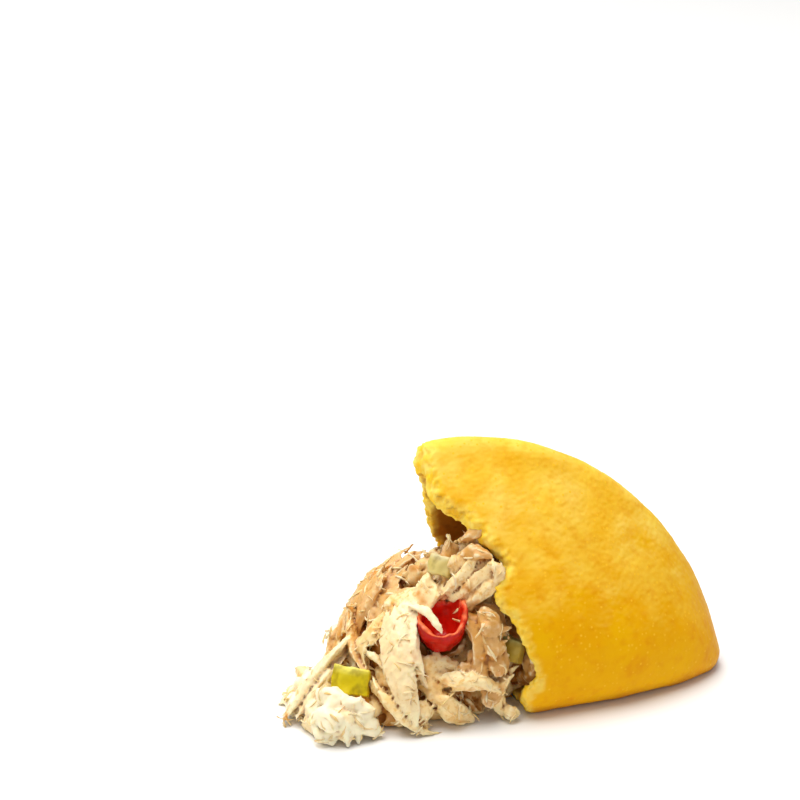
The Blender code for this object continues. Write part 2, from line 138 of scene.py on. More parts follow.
def clouds(name, size, depth=2):
    """A cloud pattern whose lumps are about size across."""
    texture = bpy.data.textures.new(name, "CLOUDS")
    texture.noise_scale = size
    texture.noise_depth = depth
    return texture


def displace(piece, texture, strength, group="", direction="NORMAL", mid_level=0.5):
    """Moves the surface by a pattern that is drawn in the piece's own space."""
    apply_modifier(
        piece,
        "DISPLACE",
        texture=texture,
        strength=strength,
        mid_level=mid_level,
        direction=direction,
        vertex_group=group,
        texture_coords="LOCAL",
    )


def copy_of(node, name):
    """A merged copy of a solid, as quads where they fit, to be worked on."""
    mesh = frame["nodes"][node].data.copy()
    mesh.name = name
    mesh.materials.clear()
    piece = bpy.data.objects.new(name, mesh)
    bpy.context.scene.collection.objects.link(piece)
    take(piece)
    bpy.ops.mesh.customdata_custom_splitnormals_clear()
    bpy.ops.object.mode_set(mode="EDIT")
    bpy.ops.mesh.select_all(action="SELECT")
    bpy.ops.mesh.remove_doubles(threshold=MERGE_DISTANCE)
    bpy.ops.mesh.tris_convert_to_quads()
    bpy.ops.object.mode_set(mode="OBJECT")
    return piece


def set_attribute(piece, name, values):
    """Stores one number for each vertex, which a material can read by name."""
    layer = piece.data.attributes.get(name) or piece.data.attributes.new(name, "FLOAT", "POINT")
    layer.data.foreach_set("value", values)


def set_group(piece, name, weights):
    """Stores one weight for each vertex as a vertex group."""
    group = piece.vertex_groups.new(name=name)
    for index, weight in enumerate(weights):
        if weight > LEAST_WEIGHT:
            group.add([index], weight, "REPLACE")


def join(pieces, name):
    """Joins pieces into one object with its place in its mesh."""
    deselect_all()
    for piece in pieces:
        piece.select_set(True)
    bpy.context.view_layer.objects.active = pieces[0]
    bpy.ops.object.join()
    joined = bpy.context.active_object
    bpy.ops.object.transform_apply(location=True, rotation=True, scale=True)
    joined.name = name
    joined.data.name = name
    return joined


def keep_above_floor(piece):
    for vertex in piece.data.vertices:
        vertex.co.z = max(vertex.co.z, FLOOR_GAP)


def waver(place, size, height):
    """A smooth rise and fall of up to height, from one place to another about size away."""
    return height * noise.noise(place / size)


def finish_piece(piece, material, slot, *nodes):
    """Shades a piece smooth, paints it and hands it to the frame."""
    take(piece)
    bpy.ops.object.shade_smooth()
    piece.data.materials.clear()
    piece.data.materials.append(material)
    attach(piece, BODY)
    if nodes:
        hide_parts(*nodes)


# Materials

# The sizes of their patterns.
DOUGH_PATCHES = 11 * MM
DOUGH_MOTTLE = 2.2 * MM
CORNMEAL_GRIT = 0.85 * MM
SAUCE_PATCHES = 6 * MM
SAUCE_STAINS = 3.5 * MM
MUSCLE_FIBRES = 0.8 * MM
FIBRE_STREAKS = (26, 1.6, 1)  # streaks round and along a loose fibre
PEPPER_PATCHES = 2.4 * MM

# Their colours as sRGB hex values. The main ones are settings.
# Lit copies for the skin that faces up, painted lighter as painted light from above.
LIT_TOP_SKIN = 0xF9CF46
PATCH, LIT_TOP_PATCH = 0xF3B600, 0xFCD966
SKIN_MOTTLE = 0xFAECD0
GRIT_SPECK = 0xFAC22C
PAN_BROWN = 0xC87A10
# The side facing the hollow: the moist inner dough, darkened further as painted shade of the hollow.
INSIDE_DOUGH_AND_SHADE = 0xA8691C
PALE_CRUMB, DEEP_CRUMB = 0xFFE06C, 0xFFCE30
DEEP_FLESH = 0xF8CE84
FLESH_STREAK = 0xEBB964
# Sauce-soaked flesh; on the packed meat under the shreds it also stands for painted shade in the gaps between
# them.
SAUCE_AND_GAP_SHADE = 0xCC8A30
SAUCE_STAIN = 0xD89030
# Painted highlight on the meat's ridges and painted shade in its creases.
RIDGE_HIGHLIGHT, CREASE_SHADE = 0xFFEFC4, 0x9A5810
BARE_FLESH = 0xFFF4D2
PEPPER_SHADE = 0xC9C0B4
WHITE_LAMINATE = 0xF7F6F4


def new_material(name):
    material = bpy.data.materials.new(name)
    material.use_nodes = True
    return material, material.node_tree.nodes["Principled BSDF"]


def node(material, kind, links=(), **settings):
    """Adds a node. Settings name its properties, or its inputs by a number after in_. A link is (input,
    socket)."""
    made = material.node_tree.nodes.new(kind)
    for name, value in settings.items():
        if name.startswith("in_"):
            made.inputs[int(name[3:])].default_value = value
        else:
            setattr(made, name, value)
    for target, socket in links:
        material.node_tree.links.new(socket, made.inputs[target])
    return made


def mix(material, factor, first, second, blend="MIX"):
    """The colour between two. Each is a socket, a hex colour or a setting, which is linear already."""
    made = node(material, "ShaderNodeMix", data_type="RGBA", blend_type=blend)
    for target, value in ((0, factor), (6, first), (7, second)):
        if isinstance(value, bpy.types.NodeSocket):
            material.node_tree.links.new(value, made.inputs[target])
        else:
            made.inputs[target].default_value = hex_colour(value) if isinstance(value, int) else value
    return made.outputs[2]


def ramp(material, value, low, high):
    """0 where the value is under low, 1 over high, smooth between them. Low may be the larger."""
    smooth = {"interpolation_type": "SMOOTHSTEP", "in_1": low, "in_2": high}
    return node(material, "ShaderNodeMapRange", [(0, value)], **smooth).outputs[0]


def attribute(material, name):
    return node(material, "ShaderNodeAttribute", attribute_name=name).outputs["Fac"]


def add_bump(material, surface, height, strength, distance, invert=False):
    bump = node(material, "ShaderNodeBump", [("Height", height)], invert=invert)
    bump.inputs["Strength"].default_value = strength
    bump.inputs["Distance"].default_value = distance
    material.node_tree.links.new(bump.outputs[0], surface.inputs["Normal"])


def set_moisture(surface, weight, radius, scale):
    """Lets light into moist food, and farther in for red than for blue."""
    surface.inputs["Subsurface Weight"].default_value = weight
    surface.inputs["Subsurface Radius"].default_value = radius
    surface.inputs["Subsurface Scale"].default_value = scale


def crust_material(skin_colour):
    """Fried precooked-cornmeal dough. The grits leave a fine pebbled skin with paler specks, the oil gives it
    a satin gloss, and the edges that touched the pan are browner. Where it is torn, the crumb is pale and
    dull. The skin that faces up is painted lighter, as painted light from above, and the side that faces the
    hollow is darker, partly the moist inner dough and partly painted shade."""
    material, surface = new_material("fried cornmeal dough")
    links = material.node_tree.links
    place = node(material, "ShaderNodeTexCoord").outputs["Object"]
    broad = node(material, "ShaderNodeTexNoise", [(0, place)], in_2=1 / DOUGH_PATCHES, in_3=3.0)
    fine = node(material, "ShaderNodeTexNoise", [(0, place)], in_2=1 / DOUGH_MOTTLE, in_3=3.0)
    grit = node(material, "ShaderNodeTexVoronoi", [(0, place)], in_2=1 / CORNMEAL_GRIT)
    crumb = attribute(material, "crumb")
    painted_top_light = attribute(material, "painted_top_light")
    # Skin that faces up takes the lit copies: painted light from above.
    skin = mix(material, painted_top_light, skin_colour, LIT_TOP_SKIN)
    patches = mix(material, painted_top_light, PATCH, LIT_TOP_PATCH)
    skin = mix(material, ramp(material, broad.outputs[0], 0.35, 0.68), skin, patches)
    flecked = mix(material, 1.0, skin, SKIN_MOTTLE, blend="MULTIPLY")
    skin = mix(material, ramp(material, fine.outputs[0], 0.45, 0.75), skin, flecked)
    picked = node(material, "ShaderNodeSeparateColor", [(0, grit.outputs["Color"])])
    speck = node(material, "ShaderNodeMath", operation="MULTIPLY")
    links.new(ramp(material, grit.outputs["Distance"], 0.42, 0.12), speck.inputs[0])
    links.new(ramp(material, picked.outputs[0], 0.62, 0.9), speck.inputs[1])
    skin = mix(material, speck.outputs[0], skin, GRIT_SPECK)
    skin = mix(material, attribute(material, "brown"), skin, PAN_BROWN)
    # Where it faces the hollow the skin is darker: the inner dough's colour with painted shade.
    skin = mix(material, attribute(material, "inside"), skin, INSIDE_DOUGH_AND_SHADE)
    torn = mix(material, ramp(material, fine.outputs[0], 0.35, 0.7), PALE_CRUMB, DEEP_CRUMB)
    links.new(mix(material, crumb, skin, torn), surface.inputs["Base Color"])
    rough = node(material, "ShaderNodeMapRange", [(0, crumb)], in_3=0.42, in_4=0.75)
    links.new(rough.outputs[0], surface.inputs["Roughness"])
    surface.inputs["IOR"].default_value = 1.45
    surface.inputs["Specular IOR Level"].default_value = 0.07
    set_moisture(surface, 0.18, (1.0, 0.55, 0.12), 2.2 * MM)
    heights = [(0, grit.outputs["Distance"]), (1, fine.outputs[0])]
    relief = node(material, "ShaderNodeMath", heights, operation="SUBTRACT")
    add_bump(material, surface, relief.outputs[0], 0.22, 0.2 * MM, invert=True)
    return material


def chicken_material(name, flesh_colour, along_fibres):
    """Poached and shredded breast: cream-white muscle fibre, moist, tan where the sauce has soaked in. Its
    ridges are painted lighter as painted highlight and its creases darker as painted shade, and the packed meat
    under the shreds is tinted dark partly as painted shade in the gaps.
    """
    material, surface = new_material(name)
    coordinates = node(material, "ShaderNodeTexCoord")
    place = coordinates.outputs["Object"]
    broad = node(material, "ShaderNodeTexNoise", [(0, place)], in_2=1 / SAUCE_PATCHES, in_3=2.0)
    stain = node(material, "ShaderNodeTexNoise", [(0, place)], in_2=1 / SAUCE_STAINS, in_3=2.0)
    if along_fibres:
        streak_place = node(material, "ShaderNodeMapping", [(0, coordinates.outputs["UV"])])
        streak_place.inputs["Scale"].default_value = FIBRE_STREAKS
        streaks = node(material, "ShaderNodeTexNoise", [(0, streak_place.outputs[0])], in_2=1.0, in_3=3.0)
    else:
        streaks = node(material, "ShaderNodeTexNoise", [(0, place)], in_2=1 / MUSCLE_FIBRES, in_3=3.0)
    tint = attribute(material, "tint")
    crease_shading = attribute(material, "crease_shading")
    flesh = mix(material, ramp(material, broad.outputs[0], 0.35, 0.7), flesh_colour, DEEP_FLESH)
    flesh = mix(material, ramp(material, streaks.outputs[0], 0.48, 0.78), flesh, FLESH_STREAK)
    # Tan by the tint: sauce, and on the packed meat under the shreds also painted shade in the gaps.
    flesh = mix(material, ramp(material, tint, 0.3, 1.0), flesh, SAUCE_AND_GAP_SHADE)
    flesh = mix(material, ramp(material, stain.outputs[0], 0.56, 0.78), flesh, SAUCE_STAIN)
    # Painted highlight where the meat stands out and painted shade where it lies in a crease.
    flesh = mix(material, ramp(material, crease_shading, -0.1, -0.9), flesh, RIDGE_HIGHLIGHT)
    flesh = mix(material, ramp(material, crease_shading, 0.05, 0.9), flesh, CREASE_SHADE)
    flesh = mix(material, ramp(material, tint, 0.05, -0.8), flesh, BARE_FLESH)
    material.node_tree.links.new(flesh, surface.inputs["Base Color"])
    surface.inputs["Roughness"].default_value = 0.4
    surface.inputs["IOR"].default_value = 1.42
    set_moisture(surface, 0.2, (1.0, 0.62, 0.3), 1.6 * MM)
    add_bump(material, surface, streaks.outputs[0], 0.4, 0.2 * MM)
    return material


def pepper_material(name, skin, flesh, edge_and_highlight):
    """Cooked sweet pepper: a waxy skin over wet, paler flesh, and lighter where it faces up, partly as its cut
    edges and partly as painted highlight.
    """
    material, surface = new_material(name)
    place = node(material, "ShaderNodeTexCoord").outputs["Object"]
    mottle = node(material, "ShaderNodeTexNoise", [(0, place)], in_2=1 / PEPPER_PATCHES, in_3=2.0)
    colour = mix(material, attribute(material, "flesh"), skin, flesh)
    # Lighter where marked: the cut edge, brightened as painted highlight.
    colour = mix(material, attribute(material, "cut_and_highlight"), colour, edge_and_highlight)
    dark = mix(material, 1.0, colour, PEPPER_SHADE, blend="MULTIPLY")
    colour = mix(material, ramp(material, mottle.outputs[0], 0.45, 0.75), colour, dark)
    material.node_tree.links.new(colour, surface.inputs["Base Color"])
    surface.inputs["Roughness"].default_value = 0.3
    surface.inputs["IOR"].default_value = 1.4
    surface.inputs["Specular IOR Level"].default_value = 0.28
    surface.inputs["Coat Weight"].default_value = 0.08
    surface.inputs["Coat Roughness"].default_value = 0.12
    set_moisture(surface, 0.12, (1.0, 0.5, 0.2), 1.2 * MM)
    add_bump(material, surface, mottle.outputs[0], 0.4, 0.3 * MM)
    return material


def floor_material():
    """Matt white laminate, as a sweep for food has, with no grain to see."""
    material, surface = new_material("matt white laminate")
    surface.inputs["Base Color"].default_value = hex_colour(WHITE_LAMINATE)
    surface.inputs["Roughness"].default_value = 0.7
    return material


# Settings


class EmpanadaSettings(bpy.types.PropertyGroup):
    dough_mesh: bpy.props.FloatProperty(
        name="Dough mesh", description="Size of the dough's faces",
        default=0.42 * MM, unit="LENGTH", precision=5,
    )
    grit_height: bpy.props.FloatProperty(
        name="Grit height", description="How far the cornmeal grits stand out",
        default=0.16 * MM, unit="LENGTH", precision=5,
    )
    crumb_height: bpy.props.FloatProperty(
        name="Crumb height", description="How ragged the torn dough is",
        default=1.5 * MM, unit="LENGTH", precision=5,
    )
    core_mesh: bpy.props.FloatProperty(
        name="Core mesh", description="Size of the faces under the shreds",
        default=0.55 * MM, unit="LENGTH", precision=5,
    )
    meat_mesh: bpy.props.FloatProperty(
        name="Meat mesh", description="Size of the faces of the shreds",
        default=0.43 * MM, unit="LENGTH", precision=5,
    )
    scrap_spacing: bpy.props.FloatProperty(
        name="Scrap spacing", description="Distance between scraps of chicken",
        default=3.1 * MM, unit="LENGTH", precision=5,
    )
    fibre_spacing: bpy.props.FloatProperty(
        name="Fibre spacing", description="Distance between loose fibres",
        default=3.2 * MM, unit="LENGTH", precision=5,
    )
    camera_distance: bpy.props.FloatProperty(
        name="Camera distance", description="From the lens to the middle of the view",
        default=0.45, unit="LENGTH",
    )
    dough_colour: bpy.props.FloatVectorProperty(
        name="Dough", description="The fried skin on the dough's sides",
        default=hex_colour(0xEFAA00), min=0.0, max=1.0, size=4, subtype="COLOR",
    )
    chicken_colour: bpy.props.FloatVectorProperty(
        name="Chicken", description="The lightest of the cooked flesh",
        default=hex_colour(0xFFE6AE), min=0.0, max=1.0, size=4, subtype="COLOR",
    )
    red_colour: bpy.props.FloatVectorProperty(
        name="Red pepper", description="The skin of the red piece",
        default=hex_colour(0xC60C04), min=0.0, max=1.0, size=4, subtype="COLOR",
    )
    green_colour: bpy.props.FloatVectorProperty(
        name="Green pepper", description="The skin of the yellow-green slab",
        default=hex_colour(0xCDB606), min=0.0, max=1.0, size=4, subtype="COLOR",
    )
    olive_colour: bpy.props.FloatVectorProperty(
        name="Olive pepper", description="The skin of the piece inside the mouth",
        default=hex_colour(0xA88A2A), min=0.0, max=1.0, size=4, subtype="COLOR",
    )
    yellow_colour: bpy.props.FloatVectorProperty(
        name="Yellow pepper", description="The skin of the pale piece at the top",
        default=hex_colour(0xC9B25C), min=0.0, max=1.0, size=4, subtype="COLOR",
    )


# The crust

# Reliefs as the size of their lumps and their height, which is a share of the crumb height in the tear.
SWELL = (9 * MM, 0.5 * MM)
TORN_LUMPS = (3.2 * MM, 1.2)
TORN_CRUMB = (0.9 * MM, 0.7)
PEBBLES = 0.75 * MM
# Where something fades in or out: by the distance from the tear, the skin, the floor or the tip, or by the
# upward part of the normal.
RAGGED_BAND = (0.4 * MM, 1.8 * MM)
CRUMB_BAND = (0.1 * MM, 0.8 * MM)
SKIN_BAND = (0.0, 0.7 * MM)
FRINGE_BAND = (0.3 * MM, 1.7 * MM)
BASE_BAND = (0.2 * MM, 3.5 * MM)
TIP_BAND = (0.0, 9 * MM)
# Over this band of the normal's upward part the skin is painted lighter, as painted light from above.
TOP_LIGHT_BAND = (0.36, 0.9)
RIM_BAND = (0.3, 0.9)
RIM_PATCH_BAND = (0.5, 1.0)
FRINGE_CRUMB = 0.6  # how much of the crumb's colour the skin beside the tear takes
# How brown the dough is on its base, on the base of its tip, on its tip and in patches on its rim.
BROWNING = (0.55, 0.35, 0.15, 0.1)


def near(vertices):
    """A search tree of these vertices' places."""
    tree = KDTree(len(vertices))
    for index, vertex in enumerate(vertices):
        tree.insert(vertex.co, index)
    tree.balance()
    return tree


def dough_zones(piece):
    """For each vertex of the dough, whether it faces the hollow, and its distances to the tear and the skin."""
    base_y = DOUGH_MIDDLE_Y - DOUGH_LEAN * DOUGH_MIDDLE_HEIGHT
    vertices = piece.data.vertices
    inside = []
    for vertex in vertices:
        middle = Vector((vertex.co.x, base_y + DOUGH_LEAN * vertex.co.z, DOUGH_MIDDLE_HEIGHT))
        hollow = vertex.co.x < DOUGH_HIGH.x - SOLID_CORNER and (vertex.co - middle).dot(vertex.normal) < 0
        inside.append(1.0 if hollow else 0.0)
    torn = [v.normal.x < TORN_FACING and v.co.x < DOUGH_LOW.x + MOUTH_DEPTH for v in vertices]
    tear = near([v for v, is_torn in zip(vertices, torn) if is_torn])
    skin = near([v for v, is_torn, hollow in zip(vertices, torn, inside) if not is_torn and not hollow])
    return inside, [tear.find(v.co)[2] for v in vertices], [skin.find(v.co)[2] for v in vertices]


class EMPANADA_OT_crust(bpy.types.Operator):
    """Models the fried dough: a fine pebbled skin, browned edges and a ragged, crumbly tear"""

    bl_idname = "empanada.crust"
    bl_label = "Crust"
    bl_options = {"REGISTER", "UNDO"}

    def execute(self, context):
        settings = context.scene.empanada
        piece = copy_of("crust", "cornmeal_crust")
        apply_modifier(piece, "SUBSURF", levels=2, render_levels=2)
        apply_modifier(piece, "REMESH", mode="VOXEL", voxel_size=settings.dough_mesh)
        apply_modifier(piece, "SMOOTH", factor=0.5, iterations=6)
        _, to_tear, _ = dough_zones(piece)
        set_group(piece, "tear", [1 - smooth_step(*RAGGED_BAND, away) for away in to_tear])
        displace(piece, clouds("swell", SWELL[0]), SWELL[1])
        ragged = settings.crumb_height
        displace(piece, clouds("torn lumps", TORN_LUMPS[0], 1), TORN_LUMPS[1] * ragged, "tear", "X")
        displace(piece, clouds("torn crumb", TORN_CRUMB[0], 1), TORN_CRUMB[1] * ragged, "tear")
        displace(piece, clouds("pebbled skin", PEBBLES, 1), settings.grit_height)
        keep_above_floor(piece)
        self.mark_colours(piece)
        finish_piece(piece, crust_material(settings.dough_colour), "cornmeal_crust", "crust")
        return {"FINISHED"}

    def mark_colours(self, piece):
        """Stores where the dough is crumb, browned, facing up, where its skin is painted lighter as painted
        light from above, and facing the hollow, where it is darker, partly as painted shade.
        """
        inside, to_tear, to_skin = dough_zones(piece)
        crumb, brown, painted_top_light = [], [], []
        for vertex, to_torn, from_skin in zip(piece.data.vertices, to_tear, to_skin):
            place, up = vertex.co, vertex.normal.z
            wander = waver(place, 1.3 * MM, 0.5) * MM
            torn = 1 - smooth_step(*CRUMB_BAND, to_torn + wander)
            fringe = FRINGE_CRUMB * (1 - smooth_step(*FRINGE_BAND, to_torn + wander))
            crumb.append(max(fringe, torn * smooth_step(*SKIN_BAND, from_skin + wander)))
            base = 1 - smooth_step(*BASE_BAND, place.z + waver(place, 7 * MM, 2 * MM))
            tip = 1 - smooth_step(*TIP_BAND, DOUGH_HIGH.x - place.x + waver(place, 5 * MM, 2 * MM))
            rim = smooth_step(*RIM_BAND, up) * smooth_step(*RIM_PATCH_BAND, waver(place, 6 * MM, 1) + 0.6)
            shares = (base, tip * base, tip, rim)
            brown.append(min(1.0, sum(most * share for most, share in zip(BROWNING, shares))))
            # Painted light: how much lighter the skin is painted where it faces up.
            painted_top_light.append(smooth_step(*TOP_LIGHT_BAND, up + waver(place, 5 * MM, 0.15)))
        for name, values in (("crumb", crumb), ("brown", brown), ("painted_top_light", painted_top_light), ("inside", inside)):
            set_attribute(piece, name, values)


# The filling


SHRED_KINDS = {
    # sides round, rings along, how full its ends are, length it is shaped at, lump size and height, in widths
    "strip": (14, 14, 0.50, 0.36, 0.30, 0.34),
    "ribbon": (14, 14, 0.45, 0.32, 0.28, 0.30),
    "lump": (14, 12, 0.40, 0.95, 0.50, 0.60),
    "fibre": (6, 12, 0.60, 0.50, 0.60, 0.25),
    "thread": (5, 9, 0.60, 0.50, 0.60, 0.25),
}
TEMPLATES_PER_KIND = 4
CREASE_DEPTH = 0.5 * MM
CORE_INSET = 0.5 * MM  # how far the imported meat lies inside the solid's surface
LOWEST_SCRAP = 1.2 * MM  # no loose shred starts lower than this,
STEEPEST_SCRAP = -0.35  # or where the surface's normal points down by more than this
DOUGH_ROOM = 1.2 * MM  # how near to the dough none starts
COVER_REACH = 4 * MM  # how far out dough would hide it
SHRED_REACH = 0.8 * MM  # how far past a shred's points there is no dough


def shred_template(kind, number):
    """A shred of unit length and width, standing along Z. It is shaped short, so that its ridges run along it
    once it has its length."""
    sides, rings, fullness, shaped, lump_size, lump_height = SHRED_KINDS[kind]
    deselect_all()
    bpy.ops.mesh.primitive_uv_sphere_add(segments=sides, ring_count=rings, radius=0.5)
    piece = bpy.context.active_object
    apply_modifier(piece, "CAST", cast_type="CYLINDER", factor=fullness, size=0.5, use_radius_as_size=False)
    away = Vector((3.1 * number + 1, 1.7 * number, 2.3 * number))
    piece.data.transform(Matrix.Translation(away) @ Matrix.Diagonal((1, 1, shaped, 1)))
    displace(piece, clouds("shred lumps", 2.2 * lump_size, 1), lump_height)
    displace(piece, clouds("shred ridges", lump_size, 1), lump_height)
    displace(piece, clouds("torn ends", 0.34, 1), 0.14 * shaped, direction="Z")
    piece.data.transform(Matrix.Diagonal((1, 1, 1 / shaped, 1)) @ Matrix.Translation(-away))
    return piece


class ShredTray:
    """Copies of the templates, laid one by one and then bent and joined all together."""

    def __init__(self, *kinds):
        numbers = range(TEMPLATES_PER_KIND)
        self.kinds = {kind: [shred_template(kind, number) for number in numbers] for kind in kinds}
        self.laid = []

    def lay(self, kind, number, line, size, outward, twist=0.0, tint=0.0):
        """Lays a shred from a start over a bend to an end, with its flat side facing outward."""
        start, bend, end = line
        width, thickness = size
        chord = end - start
        length = chord.length
        along = chord.normalized()
        rise = bend - (start + end) / 2
        facing = (outward - along * outward.dot(along)).normalized()
        across = facing.cross(along)
        template = self.kinds[kind][number % TEMPLATES_PER_KIND]
        piece = template.copy()
        piece.data = template.data.copy()
        bpy.context.scene.collection.objects.link(piece)
        piece.data.transform(Matrix.Diagonal((width, thickness, length, 1)))
        arch = -8 * rise.dot(facing) / length
        swerve = -8 * rise.dot(across) / length
        for method, axis, angle in (("TWIST", "Z", twist), ("BEND", "Y", swerve), ("BEND", "X", arch)):
            if abs(angle) > LEAST_BEND:
                modifier = piece.modifiers.new(method, "SIMPLE_DEFORM")
                modifier.deform_method = method
                modifier.deform_axis = axis
                modifier.angle = angle
        middle = (start + end) / 2 + rise - along * rise.dot(along)
        turned = Matrix((across, facing, along)).transposed().to_4x4()
        set_attribute(piece, "tint", [tint] * len(piece.data.vertices))
        self.laid.append((piece, Matrix.Translation(middle) @ turned))

    def finish(self, name):
        for templates in self.kinds.values():
            for template in templates:
                bpy.data.objects.remove(template)
        deselect_all()
        for piece, _ in self.laid:
            piece.select_set(True)
        bpy.context.view_layer.objects.active = self.laid[0][0]
        bpy.ops.object.convert(target="MESH")
        for piece, matrix in self.laid:
            piece.data.transform(matrix)
        return join([piece for piece, _ in self.laid], name)


def drop_specks(piece):
    """Deletes what isn't joined to the mass, such as specks left over from the remesh."""
    take(piece)
    bpy.ops.object.mode_set(mode="EDIT")
    bpy.ops.mesh.select_all(action="DESELECT")
    bpy.ops.object.mode_set(mode="OBJECT")
    max(piece.data.vertices, key=lambda vertex: vertex.co.x).select = True
    bpy.ops.object.mode_set(mode="EDIT")
    bpy.ops.mesh.select_linked()
    bpy.ops.mesh.select_all(action="INVERT")
    bpy.ops.mesh.delete(type="VERT")
    bpy.ops.object.mode_set(mode="OBJECT")


def mark_crease_shading(piece):
    """Stores how deep each vertex lies in a crease, from 0 to 1, or how far it stands out, down to -1, which
    the chicken's colour uses for painted shade in creases and painted highlight on ridges.
    """
    soft = piece.copy()
    soft.data = piece.data.copy()
    bpy.context.scene.collection.objects.link(soft)
    apply_modifier(soft, "SMOOTH", factor=0.5, iterations=24)
    pairs = zip(piece.data.vertices, soft.data.vertices)
    depths = [(far.co - vertex.co).dot(vertex.normal) / CREASE_DEPTH for vertex, far in pairs]
    bpy.data.objects.remove(soft)
    set_attribute(piece, "crease_shading", [max(-1.0, min(1.0, depth)) for depth in depths])


def smooth_core(settings):
    """The filling as one soft lump, a little inside the solid's surface."""
    piece = copy_of("chicken_filling", "chicken_core")
    apply_modifier(piece, "REMESH", mode="VOXEL", voxel_size=settings.core_mesh)
    apply_modifier(piece, "SMOOTH", factor=0.6, iterations=10)
    displace(piece, None, -CORE_INSET, mid_level=0.0)
    return piece


def dough_tree():
    mesh = frame["nodes"]["crust"].data
    return BVHTree.FromPolygons([v.co for v in mesh.vertices], [face.vertices for face in mesh.polygons])


def in_pepper(place, margin):
    """Whether a place is in the box of a piece of pepper, grown by a margin."""
    for name in PEPPERS:
        low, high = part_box(name)
        if all(low[axis] - margin < place[axis] < high[axis] + margin for axis in range(3)):
            return True
    return False


def spread_places(heap, dough, spacing, draw):
    """Places spread evenly over what shows of the filling, each with the way out of it."""
    deepest = DOUGH_LOW.x + DEEPEST_SHRED
    vertices = list(heap.data.vertices)
    draw.shuffle(vertices)
    taken = set()
    chosen = []
    for vertex in vertices:
        place, outward = vertex.co.copy(), vertex.normal.copy()
        cell = tuple(round(value / spacing) for value in place)
        if cell in taken:
            continue
        if place.z < LOWEST_SCRAP or outward.z < STEEPEST_SCRAP or place.x > deepest:
            continue
        if in_pepper(place, 0.6 * MM) or dough.ray_cast(place, outward, COVER_REACH)[0]:
            continue
        if dough.find_nearest(place)[3] < DOUGH_ROOM:
            continue
        taken.add(cell)
        chosen.append((place, outward))
    return chosen


def clear_of_dough(dough, heart, points):
    """Whether nothing of the dough lies between a shred's heart and its points."""
    for point in points:
        way = point - heart
        if dough.ray_cast(heart, way.normalized(), way.length + SHRED_REACH)[0]:
            return False
    return True


